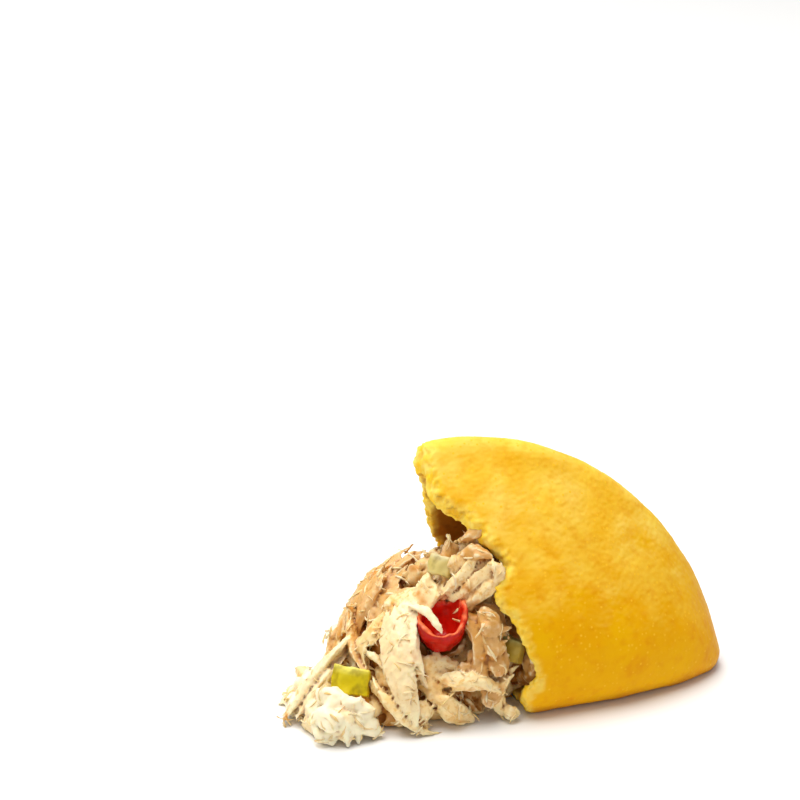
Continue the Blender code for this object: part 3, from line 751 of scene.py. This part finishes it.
STANDING_SHREDS = (
    # kind; start, bend and end in millimetres from the fold's corner; width and thickness in millimetres;
    # twist in degrees; tint, from -1 for bare to 1 for sauced
    # the broad strip in front and the strands beside it
    ("strip", (-67.6, -4.0, 21.0), (-70.6, -10.6, 16.2), (-68.2, -15.8, 8.0), 7.4, 3.2, 12, -0.3),
    ("ribbon", (-70.2, -3.8, 20.0), (-73.0, -9.2, 14.6), (-71.6, -14.6, 8.8), 2.6, 1.8, -30, -0.3),
    ("fibre", (-66.0, -6.5, 19.5), (-67.6, -10.8, 16.0), (-66.6, -13.4, 9.5), 1.5, 1.5, 60, -0.3),
    ("fibre", (-77.4, -3.2, 12.4), (-75.6, -6.4, 13.4), (-73.6, -10.4, 11.0), 1.4, 1.2, 40, -0.3),
    ("fibre", (-74.0, -10.2, 11.2), (-72.6, -13.0, 10.4), (-71.0, -15.0, 7.6), 1.4, 1.2, 40, -0.3),
    # the flap up to the red pepper
    ("ribbon", (-64.4, -2.0, 24.0), (-69.5, -3.0, 20.8), (-74.4, -5.2, 16.6), 4.4, 1.8, -20, 0.4),
    ("ribbon", (-73.6, -4.6, 17.4), (-76.6, -3.6, 14.0), (-75.6, -7.0, 10.4), 4.2, 1.8, 25, 0.4),
    ("strip", (-62.2, -1.6, 26.0), (-64.6, -3.4, 23.2), (-66.4, -4.4, 20.6), 3.8, 2.4, 15, 0.4),
    ("ribbon", (-60.8, -2.6, 25.2), (-62.8, -4.6, 23.2), (-64.8, -5.8, 20.8), 3.0, 1.6, -30, 0.4),
    ("fibre", (-64.2, -1.8, 26.0), (-62.8, -4.4, 24.6), (-60.8, -4.8, 23.4), 0.9, 0.8, 60, 0.4),
    # behind them, on the left
    ("strip", (-70.2, 6.0, 23.0), (-73.6, 5.6, 18.4), (-75.8, 5.0, 12.6), 5.6, 2.6, 15, 0.7),
    ("strip", (-67.2, 3.6, 23.8), (-70.6, 3.0, 20.4), (-73.0, -0.6, 16.8), 4.6, 2.4, -15, 0.7),
    ("ribbon", (-76.4, 3.4, 15.2), (-77.4, -0.6, 12.8), (-76.0, -6.0, 10.2), 4.6, 1.8, 10, 0.7),
    ("lump", (-76.2, 8.4, 14.2), (-78.6, 7.4, 12.0), (-79.6, 5.4, 8.6), 3.4, 2.6, 0, 0.7),
    ("fibre", (-75.6, 8.8, 13.4), (-79.2, 7.6, 12.6), (-81.6, 6.2, 10.0), 1.0, 0.9, 50, 0.7),
    ("strip", (-66.0, 11.0, 24.0), (-72.0, 11.5, 19.5), (-77.0, 6.5, 12.6), 5.6, 2.6, 20, 0.7),
    ("strip", (-70.0, 14.5, 18.5), (-76.5, 10.5, 13.5), (-80.5, 4.0, 9.0), 4.6, 2.6, -30, 0.7),
    ("ribbon", (-62.0, 8.0, 26.5), (-67.5, 9.0, 22.8), (-72.0, 4.5, 17.0), 4.6, 2.0, 25, 0.7),
    # the long strip on the left
    ("strip", (-78.6, 0.8, 12.4), (-85.4, -3.0, 8.6), (-91.4, -4.8, 2.4), 4.6, 2.4, -20, -0.3),
    ("ribbon", (-80.6, -2.4, 10.8), (-85.4, -5.4, 8.0), (-89.6, -7.4, 2.6), 3.2, 1.6, 30, -0.3),
    # the bright bundle over the red pepper
    ("strip", (-60.4, -4.4, 24.2), (-57.8, -5.8, 27.6), (-54.8, -5.2, 31.8), 3.0, 2.6, 15, 0.45),
    ("strip", (-58.8, -5.6, 23.4), (-55.4, -7.4, 27.4), (-52.4, -7.6, 30.8), 3.2, 2.4, -15, 0.45),
    ("strip", (-57.0, -6.6, 22.4), (-53.4, -9.0, 26.4), (-50.8, -9.6, 29.8), 3.4, 2.6, 20, 0.45),
    ("ribbon", (-52.6, -7.6, 31.4), (-50.6, -9.8, 30.6), (-51.4, -10.4, 27.6), 2.8, 1.8, 20, 0.5),
    ("lump", (-58.8, -2.8, 28.4), (-56.6, -3.8, 31.0), (-54.6, -3.0, 32.6), 3.0, 2.4, 0, 0.45),
    ("lump", (-55.6, -4.2, 32.0), (-53.8, -5.7, 33.2), (-51.8, -6.6, 32.2), 3.2, 2.4, 0, 0.8),
    ("strip", (-57.6, 0.2, 32.0), (-58.8, -1.0, 28.4), (-58.8, -3.0, 25.6), 3.4, 2.2, 10, 0.7),
    ("strip", (-55.0, -1.0, 33.6), (-52.4, -2.0, 36.0), (-50.0, -3.0, 36.0), 3.6, 2.6, 30, 0.7),
    # over the red pepper's rim
    ("ribbon", (-67.4, -4.6, 21.8), (-65.4, -8.6, 23.0), (-62.8, -11.4, 20.4), 1.9, 1.5, 30, -0.4),
    # beside the red pepper
    ("strip", (-58.4, -9.6, 20.6), (-54.8, -12.6, 16.2), (-57.0, -13.2, 10.8), 3.6, 2.6, 25, 0.75),
    ("fibre", (-57.8, -10.8, 20.2), (-56.2, -13.8, 15.0), (-57.6, -14.0, 10.0), 1.3, 1.1, 40, 0.75),
    ("lump", (-58.2, -12.4, 12.4), (-57.4, -14.2, 10.8), (-56.6, -13.6, 9.2), 2.8, 2.2, 0, 0.75),
    ("lump", (-54.2, -7.6, 21.4), (-51.8, -10.8, 19.6), (-50.6, -11.6, 16.4), 5.4, 4.2, 0, 0.75),
    ("lump", (-56.2, -8.6, 20.4), (-53.8, -11.0, 18.4), (-53.2, -11.6, 15.2), 3.8, 3.2, 0, 0.8),
    ("lump", (-53.4, -10.8, 15.4), (-51.6, -12.2, 13.4), (-50.8, -12.2, 11.0), 3.8, 3.2, 0, 0.75),
    ("fibre", (-54.0, -12.0, 18.6), (-51.2, -13.0, 19.0), (-48.8, -12.6, 19.4), 0.9, 0.8, 20, 0.75),
    ("fibre", (-54.4, -12.6, 15.6), (-51.6, -13.6, 16.4), (-49.2, -13.2, 17.4), 0.8, 0.7, 20, 0.75),
    ("fibre", (-52.0, -13.2, 16.4), (-50.4, -13.8, 15.4), (-49.4, -13.4, 13.4), 0.8, 0.7, 20, 0.75),
    ("lump", (-54.6, -10.4, 23.0), (-53.2, -12.0, 21.0), (-52.6, -12.4, 18.6), 4.4, 3.6, 0, 0.75),
    ("lump", (-53.6, -11.6, 18.0), (-52.4, -13.2, 16.4), (-51.8, -13.4, 14.0), 4.4, 3.6, 0, 0.75),
    ("lump", (-53.2, -12.0, 14.0), (-51.8, -13.8, 12.4), (-51.2, -13.8, 10.0), 4.4, 3.6, 0, 0.75),
    ("lump", (-55.8, -11.4, 13.4), (-54.8, -13.4, 11.4), (-54.6, -13.6, 9.0), 4.6, 3.6, 0, 0.75),
    ("strip", (-56.4, -10.0, 18.6), (-54.8, -12.4, 15.6), (-55.2, -13.4, 12.0), 3.6, 2.8, 20, 0.75),
    ("lump", (-54.6, -12.8, 8.0), (-53.2, -14.4, 6.2), (-52.6, -14.2, 4.0), 4.2, 3.4, 0, 0.75),
    # in front, below the red pepper
    ("strip", (-62.0, -14.2, 9.6), (-58.0, -15.4, 10.4), (-53.4, -15.2, 9.2), 4.2, 2.8, 10, 0.05),
    ("lump", (-66.2, -9.0, 12.8), (-64.2, -10.8, 11.4), (-62.4, -11.6, 9.4), 3.8, 3.0, 0, 0.1),
    ("lump", (-64.0, -9.2, 13.4), (-62.0, -10.6, 12.0), (-59.8, -11.0, 10.6), 3.4, 2.6, 0, 0.0),
    ("lump", (-66.8, -10.8, 9.4), (-65.0, -12.8, 8.2), (-62.8, -13.6, 6.8), 3.6, 3.0, 0, 0.3),
    ("lump", (-64.8, -13.2, 5.8), (-62.0, -15.2, 4.8), (-59.2, -14.6, 2.6), 5.0, 4.2, 0, 0.15),
    ("lump", (-62.2, -13.6, 3.0), (-60.0, -14.6, 2.2), (-57.2, -13.6, 1.6), 3.4, 2.8, 0, 0.3),
    ("lump", (-69.8, -13.6, 5.0), (-68.0, -14.6, 4.8), (-66.2, -14.4, 3.0), 3.2, 2.8, 0, 0.2),
    ("strip", (-75.0, -10.2, 9.4), (-72.2, -15.2, 5.0), (-67.2, -15.6, 1.4), 3.0, 2.0, 30, 0.05),
    ("ribbon", (-76.0, -8.6, 8.6), (-74.4, -12.6, 6.4), (-72.4, -14.2, 3.6), 2.6, 1.6, -30, 0.2),
    # at the mouth's foot
    ("strip", (-47.8, -14.0, 10.2), (-51.2, -14.2, 8.4), (-50.4, -14.6, 1.4), 3.0, 2.2, 40, 0.05),
    ("lump", (-49.8, -14.8, 3.2), (-49.6, -15.4, 2.2), (-48.8, -15.4, 1.2), 2.6, 2.2, 0, 0.0),
    ("fibre", (-53.6, -12.8, 7.4), (-51.6, -14.0, 5.4), (-50.4, -13.6, 3.0), 0.9, 0.8, 20, 0.1),
    ("fibre", (-54.2, -12.2, 5.2), (-51.6, -13.2, 3.4), (-48.9, -13.0, 2.4), 0.9, 0.8, 20, 0.2),
    ("fibre", (-53.0, -11.2, 8.6), (-52.2, -13.4, 7.0), (-53.2, -13.8, 3.6), 0.8, 0.7, 20, 0.1),
    # the clump that has fallen in front
    ("lump", (-87.0, -9.4, 7.2), (-84.6, -11.8, 7.8), (-82.4, -13.6, 7.2), 4.4, 3.4, 0, -0.6),
    ("lump", (-87.8, -12.8, 4.8), (-86.0, -15.8, 5.6), (-83.4, -16.2, 4.4), 4.0, 3.2, 0, -0.6),
    ("lump", (-88.4, -11.8, 2.6), (-86.6, -15.2, 2.2), (-84.4, -16.8, 1.8), 3.8, 3.0, 0, -0.6),
    ("lump", (-84.2, -14.8, 5.0), (-82.0, -15.8, 4.6), (-80.2, -15.6, 3.0), 3.6, 3.0, 0, -0.6),
    ("lump", (-83.2, -14.0, 7.2), (-80.4, -14.6, 6.6), (-78.4, -14.0, 4.6), 4.4, 3.4, 0, -0.6),
    ("lump", (-80.6, -13.6, 4.2), (-78.2, -15.4, 3.2), (-75.8, -13.6, 2.0), 3.8, 3.0, 0, -0.6),
    ("strip", (-83.6, -13.0, 7.4), (-83.2, -16.4, 4.8), (-82.4, -17.4, 1.4), 2.4, 1.8, 20, -0.6),
    ("fibre", (-81.6, -12.0, 7.8), (-80.2, -15.2, 4.4), (-80.8, -17.0, 1.2), 1.6, 1.3, 30, -0.6),
    ("fibre", (-87.4, -12.6, 6.4), (-88.6, -14.8, 3.6), (-87.6, -16.6, 1.2), 1.4, 1.2, 30, -0.6),
)
HEAP_MIDDLES = ((-62, 2, 4), (-83, -9, 0))  # the shreds lie flat against these, in millimetres from the corner
PALE_PART = 78 * MM  # from here on the chicken has no sauce on it
PALE_TINT = -0.3
SHRED_ROOM = 2.3 * MM  # how near to a standing shred's middle no scrap lies
SCRAP_SIZES = {
    # width, length in millimetres, and thickness as a share of the width
    "strip": ((2.0, 3.4), (5.0, 8.5), (0.50, 0.75)),
    "ribbon": ((1.4, 2.4), (4.0, 7.0), (0.45, 0.65)),
    "lump": ((2.2, 3.8), (2.8, 5.0), (0.65, 0.95)),
}
SCRAP_KINDS = ("strip", "ribbon", "lump", "lump")
SCRAP_TINTS = (0.1, 0.3, 0.5, 0.7, 0.9)
PALE_SCRAP_TINTS = (-0.7, -0.4, 0.1)
FIBRE_SIZES = ((0.22, 0.4), (2.0, 4.5))
FIBRE_TINTS = (-0.3, 0.1, 0.5)
SCRAP_SEED, FIBRE_SEED = 11, 5
CORE_LUMPS = (2.2 * MM, 1.3 * MM)  # size and height, here and below
MEAT_RELIEFS = (("pulled meat", 2.6 * MM, 1.2 * MM), ("wrinkled meat", 1.0 * MM, 0.5 * MM))
MEAT_GRAIN = (0.85 * MM, 0.4 * MM)
FIBRE_WAVES = (1.6 * MM, 0.6 * MM)


def from_corner(point):
    return Vector(point) * MM + FOLD_CORNER


def strand(place, outward, heading, length, droop, bow):
    """The start, bend and end of a shred that lies over the heap at a place."""
    level = outward.cross(Vector((0.3, 0.2, 1))).normalized()
    direction = Matrix.Rotation(heading, 3, outward) @ level
    shift = outward * (-droop * length) + direction.cross(outward) * (bow * length)
    return [place - direction * length / 2 + shift, place, place + direction * length / 2 + shift]


def lift(line, height):
    """Raises the points of a shred that lie lower than this."""
    for point in line:
        point.z = max(point.z, height)


def fits(dough, heart, line, pepper_room):
    """Whether a shred with its heart here keeps clear of the dough and the pepper."""
    return clear_of_dough(dough, heart, line) and not any(in_pepper(point, pepper_room) for point in line)


class EMPANADA_OT_shreds(bpy.types.Operator):
    """Models the chicken: packed meat, the shreds that make the heap's shape and scraps between them, moist and
    matted into one mass"""

    bl_idname = "empanada.shreds"
    bl_label = "Shredded chicken"
    bl_options = {"REGISTER", "UNDO"}

    def execute(self, context):
        settings = context.scene.empanada
        tray = ShredTray("strip", "ribbon", "lump", "fibre")
        core = smooth_core(settings)
        self.lay_standing(tray)
        self.lay_scraps(tray, core, settings.scrap_spacing)
        displace(core, clouds("crumbled meat", CORE_LUMPS[0], 2), CORE_LUMPS[1])
        pale_from = FOLD_CORNER.x - PALE_PART
        places = [vertex.co for vertex in core.data.vertices]
        # The packed meat under the shreds is tinted dark: partly sauce, partly painted shade in the gaps
        # between the shreds.
        core_sauce_and_gap_shade = [PALE_TINT if place.x < pale_from else 0.9 + waver(place, 4 * MM, 0.3) for place in places]
        set_attribute(core, "tint", core_sauce_and_gap_shade)
        piece = join([tray.finish("chicken_shreds"), core], "chicken_shreds")
        for name, size, height in MEAT_RELIEFS:
            displace(piece, clouds(name, size, 1), height)
        keep_above_floor(piece)
        piece.data.remesh_voxel_size = settings.meat_mesh
        piece.data.use_remesh_preserve_attributes = True
        take(piece)
        bpy.ops.object.voxel_remesh()
        drop_specks(piece)
        apply_modifier(piece, "SMOOTH", factor=0.5, iterations=2)
        displace(piece, clouds("meat grain", MEAT_GRAIN[0], 1), MEAT_GRAIN[1])
        keep_above_floor(piece)
        mark_crease_shading(piece)
        material = chicken_material("shredded chicken", settings.chicken_colour, False)
        finish_piece(piece, material, "chicken", "chicken_filling")
        return {"FINISHED"}

    def lay_standing(self, tray):
        middles = [from_corner(middle) for middle in HEAP_MIDDLES]
        for number, (kind, start, bend, end, width, thickness, twist, tint) in enumerate(STANDING_SHREDS):
            line = [from_corner(point) for point in (start, bend, end)]
            middle = min(middles, key=lambda place: (place - line[1]).length)
            outward = (line[1] - middle).normalized()
            tray.lay(kind, number, line, (width * MM, thickness * MM), outward, math.radians(twist), tint)

    def lay_scraps(self, tray, core, spacing):
        draw = random.Random(SCRAP_SEED)
        dough = dough_tree()
        standing = []
        for _, start, bend, end, *_ in STANDING_SHREDS:
            start, bend, end = (from_corner(point) for point in (start, bend, end))
            standing += [start, (start + bend) / 2, bend, (bend + end) / 2, end]
        for place, outward in spread_places(core, dough, spacing, draw):
            if any((place - point).length < SHRED_ROOM for point in standing):
                continue
            kind = draw.choice(SCRAP_KINDS)
            width, length, flatness = SCRAP_SIZES[kind]
            width, length = draw.uniform(*width) * MM, draw.uniform(*length) * MM
            heading = draw.uniform(0, math.pi)
            line = strand(place, outward, heading, length, draw.uniform(0.08, 0.22), draw.uniform(-0.15, 0.15))
            lift(line, width * 0.3)
            if not fits(dough, place, line, 0.8 * MM):
                continue
            tint = draw.choice(SCRAP_TINTS)
            if place.x < FOLD_CORNER.x - PALE_PART:
                tint = draw.choice(PALE_SCRAP_TINTS)
            number = draw.randrange(TEMPLATES_PER_KIND)
            size = (width, width * draw.uniform(*flatness))
            tray.lay(kind, number, line, size, outward, draw.uniform(-0.9, 0.9), tint)


class EMPANADA_OT_fibres(bpy.types.Operator):
    """Lays the fine fibres that stand loose from the shreds"""

    bl_idname = "empanada.fibres"
    bl_label = "Loose fibres"
    bl_options = {"REGISTER", "UNDO"}

    def execute(self, context):
        settings = context.scene.empanada
        draw = random.Random(FIBRE_SEED)
        tray = ShredTray("thread")
        dough = dough_tree()
        meat = bpy.data.objects["chicken_shreds"]
        for place, outward in spread_places(meat, dough, settings.fibre_spacing, draw):
            width, length = (draw.uniform(*size) * MM for size in FIBRE_SIZES)
            out = place + outward * draw.uniform(-0.1, 0.15) * MM
            heading = draw.uniform(0, math.pi)
            line = strand(out, outward, heading, length, draw.uniform(0.1, 0.22), draw.uniform(-0.2, 0.2))
            lift(line, width)
            if not fits(dough, place, line, 0.2 * MM):
                continue
            number = draw.randrange(TEMPLATES_PER_KIND)
            twist = draw.uniform(-2, 2)
            tray.lay("thread", number, line, (width, width), outward, twist, draw.choice(FIBRE_TINTS))
        piece = tray.finish("chicken_fibres")
        displace(piece, clouds("pulled fibres", FIBRE_WAVES[0], 1), FIBRE_WAVES[1])
        keep_above_floor(piece)
        material = chicken_material("fibres of chicken", settings.chicken_colour, True)
        finish_piece(piece, material, "chicken", "chicken_filling")
        return {"FINISHED"}


# Pepper

# Reliefs as the size of their lumps and their height.
CUP_RELIEFS = (("pepper dents", 3 * MM, 1.2 * MM), ("pepper ripples", 1.1 * MM, 0.6 * MM))
JAGGED_RIM = (1.4 * MM, 3.4 * MM)
SLAB_DENTS = (2.4 * MM, 0.9 * MM)
SLAB_EDGE = 0.35 * MM  # how far the cut edges are rounded
# The colours of the flesh and of the lighter upper edges, partly cut flesh and partly painted highlight, as
# sRGB hex values.
RED_FLESH, RED_EDGE_HIGHLIGHT = 0xDC200C, 0xFF8250
GREEN_FLESH, GREEN_EDGE_HIGHLIGHT = 0xD8C41A, 0xEDE26A
OLIVE_FLESH, OLIVE_EDGE_HIGHLIGHT = 0xB59A3C, 0xC9C77A
YELLOW_FLESH, YELLOW_EDGE_HIGHLIGHT = 0xD8C687, 0xE8DCAA


def height_shares(piece, low, high):
    """For each vertex, how far up the piece it is, from 0 to 1."""
    return [(vertex.co.z - low.z) / (high.z - low.z) for vertex in piece.data.vertices]


class EMPANADA_OT_peppers(bpy.types.Operator):
    """Models the diced pepper: waxy skin outside, wet flesh inside and lighter upper edges, partly cut flesh
    and partly painted highlight
    """

    bl_idname = "empanada.peppers"
    bl_label = "Diced pepper"
    bl_options = {"REGISTER", "UNDO"}

    def execute(self, context):
        settings = context.scene.empanada
        self.cup(settings.red_colour)
        self.slab("green_pepper", settings.green_colour, GREEN_FLESH, GREEN_EDGE_HIGHLIGHT)
        self.slab("olive_pepper", settings.olive_colour, OLIVE_FLESH, OLIVE_EDGE_HIGHLIGHT)
        self.slab("yellow_pepper", settings.yellow_colour, YELLOW_FLESH, YELLOW_EDGE_HIGHLIGHT)
        return {"FINISHED"}

    def cup(self, skin):
        piece = copy_of("red_pepper", "red_pepper_piece")
        low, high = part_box("red_pepper")
        middle = (low + high) / 2
        apply_modifier(piece, "SUBSURF", levels=2, render_levels=2)
        for name, size, height in CUP_RELIEFS:
            displace(piece, clouds(name, size, 1), height)
        set_group(piece, "rim", [smooth_step(0.5, 0.95, share) for share in height_shares(piece, low, high)])
        displace(piece, clouds("jagged rim", JAGGED_RIM[0], 1), JAGGED_RIM[1], "rim", "Z")
        inside, cut_and_highlight = [], []
        for vertex in piece.data.vertices:
            inward = (vertex.co - Vector((middle.x, middle.y, vertex.co.z))).dot(vertex.normal) < 0
            inside.append(1.0 if inward else 0.0)
            # Faces that look up, above the base, are lighter: partly the cut edge, partly painted highlight.
            above_base = smooth_step(0, 3 * MM, vertex.co.z - low.z - 3 * MM)
            cut_and_highlight.append(smooth_step(0.3, 0.8, vertex.normal.z) * above_base)
        set_attribute(piece, "flesh", inside)
        set_attribute(piece, "cut_and_highlight", cut_and_highlight)
        material = pepper_material("cooked red pepper", skin, RED_FLESH, RED_EDGE_HIGHLIGHT)
        finish_piece(piece, material, "red_pepper", "red_pepper")

    def slab(self, node_name, skin, flesh, edge_and_highlight):
        piece = copy_of(node_name, node_name + "_piece")
        low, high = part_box(node_name)
        apply_modifier(piece, "BEVEL", width=SLAB_EDGE, segments=2)
        apply_modifier(piece, "SUBSURF", levels=2, render_levels=2)
        displace(piece, clouds("slab dents", SLAB_DENTS[0], 1), SLAB_DENTS[1])
        # The top part is lighter: partly the cut edge, partly painted highlight from above.
        lighter_top = [smooth_step(0.72, 0.95, share) for share in height_shares(piece, low, high)]
        set_attribute(piece, "flesh", [0.5 + waver(v.co, 2 * MM, 0.5) for v in piece.data.vertices])
        set_attribute(piece, "cut_and_highlight", lighter_top)
        material = pepper_material("cooked " + node_name.replace("_", " "), skin, flesh, edge_and_highlight)
        finish_piece(piece, material, node_name, node_name)


# The stage


LAMPS = (
    # name, place, the point it is turned to, size and power in watts
    ("overhead softbox", (-0.15, 0.1, 0.9), (0, 0, 0.02), 0.9, 10.6),
    ("front fill", (0.4, -0.9, 0.6), (0, 0, 0.02), 0.8, 0.5),
    ("left fill", (-0.9, -0.3, 0.5), (0, 0, 0.02), 0.7, 0.6),
    ("backdrop light", (-0.1, 1.5, 1.3), (-0.1, 1.4, 0), 1.2, 9.0),
)
SKY_STRENGTH = 0.32
FLOOR_SIZE = 4
CAMERA_TARGET = (-59.89, 35.11, 49.3)  # millimetres from the corner of the fold
CAMERA_AZIMUTH, CAMERA_ELEVATION = math.radians(-13.3), math.radians(22.5)
CAMERA_LENS, CAMERA_SENSOR = 96.8, 36  # millimetres
NEAREST_SEEN = 0.01


class EMPANADA_OT_stage(bpy.types.Operator):
    """Lays the white floor and sets the lights and the camera"""

    bl_idname = "empanada.stage"
    bl_label = "Stage"
    bl_options = {"REGISTER", "UNDO"}

    def execute(self, context):
        deselect_all()
        bpy.ops.mesh.primitive_plane_add(size=FLOOR_SIZE, location=(0, 0, 0))
        floor = context.active_object
        floor.name = "floor"
        floor.data.materials.append(floor_material())
        for lamp in LAMPS:
            self.lamp(context, *lamp)
        self.sky(context.scene)
        self.camera(context)
        return {"FINISHED"}

    def lamp(self, context, name, place, target, size, power):
        bpy.ops.object.light_add(type="AREA", location=place)
        lamp = context.active_object
        lamp.name = name
        lamp.data.shape = "DISK"
        lamp.data.size = size
        lamp.data.energy = power
        lamp.rotation_euler = (Vector(place) - Vector(target)).to_track_quat("Z", "Y").to_euler()

    def sky(self, scene):
        world = bpy.data.worlds.new("white studio")
        scene.world = world
        world.use_nodes = True
        background = world.node_tree.nodes["Background"]
        background.inputs["Color"].default_value = (1, 1, 1, 1)
        background.inputs["Strength"].default_value = SKY_STRENGTH

    def camera(self, context):
        level = math.cos(CAMERA_ELEVATION)
        back = Vector(
            (math.sin(CAMERA_AZIMUTH) * level, -math.cos(CAMERA_AZIMUTH) * level, math.sin(CAMERA_ELEVATION))
        )
        place = from_corner(CAMERA_TARGET) + back * context.scene.empanada.camera_distance
        bpy.ops.object.camera_add(location=place)
        camera = context.active_object
        camera.rotation_euler = back.to_track_quat("Z", "Y").to_euler()
        camera.data.lens = CAMERA_LENS
        camera.data.sensor_width = CAMERA_SENSOR
        camera.data.clip_start = NEAREST_SEEN
        context.scene.camera = camera
        context.scene.view_settings.view_transform = "Standard"


# Panel and registration


OPERATORS = (
    EMPANADA_OT_crust,
    EMPANADA_OT_shreds,
    EMPANADA_OT_fibres,
    EMPANADA_OT_peppers,
    EMPANADA_OT_stage,
)


class EMPANADA_PT_panel(bpy.types.Panel):
    """Lists the empanada's settings and pieces"""

    bl_idname = "EMPANADA_PT_panel"
    bl_label = "Empanada"
    bl_space_type = "VIEW_3D"
    bl_region_type = "UI"
    bl_category = "Empanada"

    def draw(self, context):
        for name in EmpanadaSettings.__annotations__:
            self.layout.prop(context.scene.empanada, name)
        for operator in OPERATORS:
            self.layout.operator(operator.bl_idname)


CLASSES = (EmpanadaSettings, *OPERATORS, EMPANADA_PT_panel)


def register():
    for cls in CLASSES:
        bpy.utils.register_class(cls)
    bpy.types.Scene.empanada = bpy.props.PointerProperty(type=EmpanadaSettings)


def unregister():
    del bpy.types.Scene.empanada
    for cls in reversed(CLASSES):
        bpy.utils.unregister_class(cls)


def main():
    register()
    bpy.ops.empanada.crust()
    bpy.ops.empanada.shreds()
    bpy.ops.empanada.fibres()
    bpy.ops.empanada.peppers()
    bpy.ops.empanada.stage()


if __name__ == "__main__":
    main()
